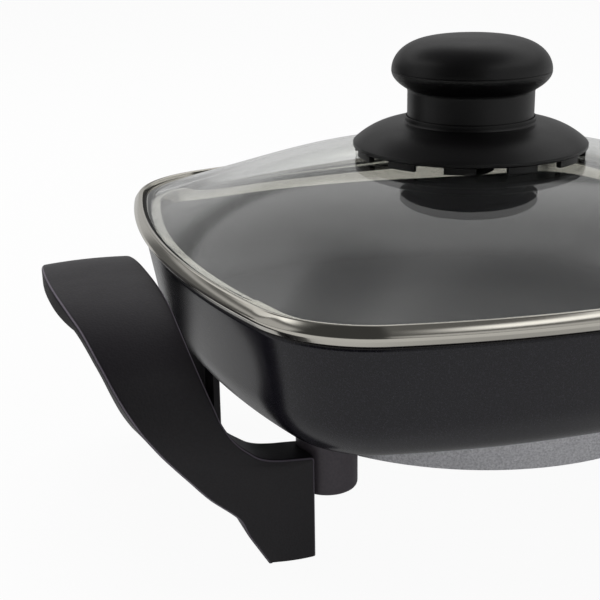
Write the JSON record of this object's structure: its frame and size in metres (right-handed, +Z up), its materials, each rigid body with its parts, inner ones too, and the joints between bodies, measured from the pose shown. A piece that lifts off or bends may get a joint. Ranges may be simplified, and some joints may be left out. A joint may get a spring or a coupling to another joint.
{
  "type": "square electric skillet",
  "caption": "Square electric skillet with a lift-off domed glass lid, wide strap handles that form the legs, a heater base and a plug-in heat control with a turning dial.",
  "frame": {"origin": "on the table under the middle of the pan, at the bottom centre of the bounding box", "axes": "+X across both handles towards the heat control, the longest extent; +Y from front to back; +Z up, the shortest extent"},
  "size_m": [0.292, 0.223, 0.1487],
  "materials": {
    "pan_coat": "dark non-stick coat on cast aluminium, satin with a fine speckle",
    "bare_casting": "bare cast, grainy",
    "tube_sheath": "heat-dulled",
    "plated_steel": "plated",
    "insulator": null,
    "sheet_steel": "plain sheet",
    "screw_steel": "zinc plated",
    "handle_moulding": "fine-grained phenolic",
    "bushing_moulding": "smooth",
    "pad_rubber": "matt",
    "lid_glass": "clear tempered",
    "band_steel": "polished band",
    "seal_rubber": "matt",
    "knob_moulding": "satin phenolic",
    "hub_moulding": "satin",
    "case_moulding": "fine-grained phenolic",
    "contact_brass": "plain",
    "gland_rubber": "matt",
    "lens_red": "clear red",
    "lamp_glass": "small neon lamp",
    "dial_moulding": "satin phenolic",
    "cam_moulding": "plain"
  },
  "bodies": {
    "skillet": {"pan": "pan_coat", "base_casting": "bare_casting", "heating_tube": "tube_sheath", "terminal_pins": "plated_steel", "pin_insulators": "insulator", "terminal_guard": "sheet_steel", "guard_screws": "screw_steel", "left_handle": "handle_moulding", "right_handle": "handle_moulding", "post_bushings": "bushing_moulding", "handle_screws": "screw_steel", "foot_pads": "pad_rubber"},
    "lid": {"lid_glass": "lid_glass", "lid_band": "band_steel", "glass_seal": "seal_rubber", "knob_cap": "knob_moulding", "knob_brim": "knob_moulding", "knob_seal": "seal_rubber", "knob_hub": "hub_moulding", "knob_screw": "screw_steel"},
    "control": {"control_case": "case_moulding", "control_cover": "case_moulding", "cover_screws": "screw_steel", "probe": "plated_steel", "contact_sleeves": "contact_brass", "cord_gland": "gland_rubber", "lamp_lens": "lens_red", "pilot_lamp": "lamp_glass", "thermostat_frame": "sheet_steel", "switch_blade": "contact_brass"},
    "dial": {"dial": "dial_moulding", "dial_shaft": "plated_steel", "dial_cam": "cam_moulding"}
  },
  "joints": [
    {"name": "lid_lift", "type": "slide", "parent": "skillet", "child": "lid", "axis": [0, 0, 1], "range_m": [0, 0.08]},
    {"name": "control_pull", "type": "slide", "parent": "skillet", "child": "control", "axis": [1, 0, 0], "range_m": [0, 0.06]},
    {"name": "dial_turn", "type": "hinge", "parent": "control", "child": "dial", "pos_m": [0.133, 0, 0.033], "axis": [-1, 0, 0], "range_deg": [0, 300]}
  ]
}
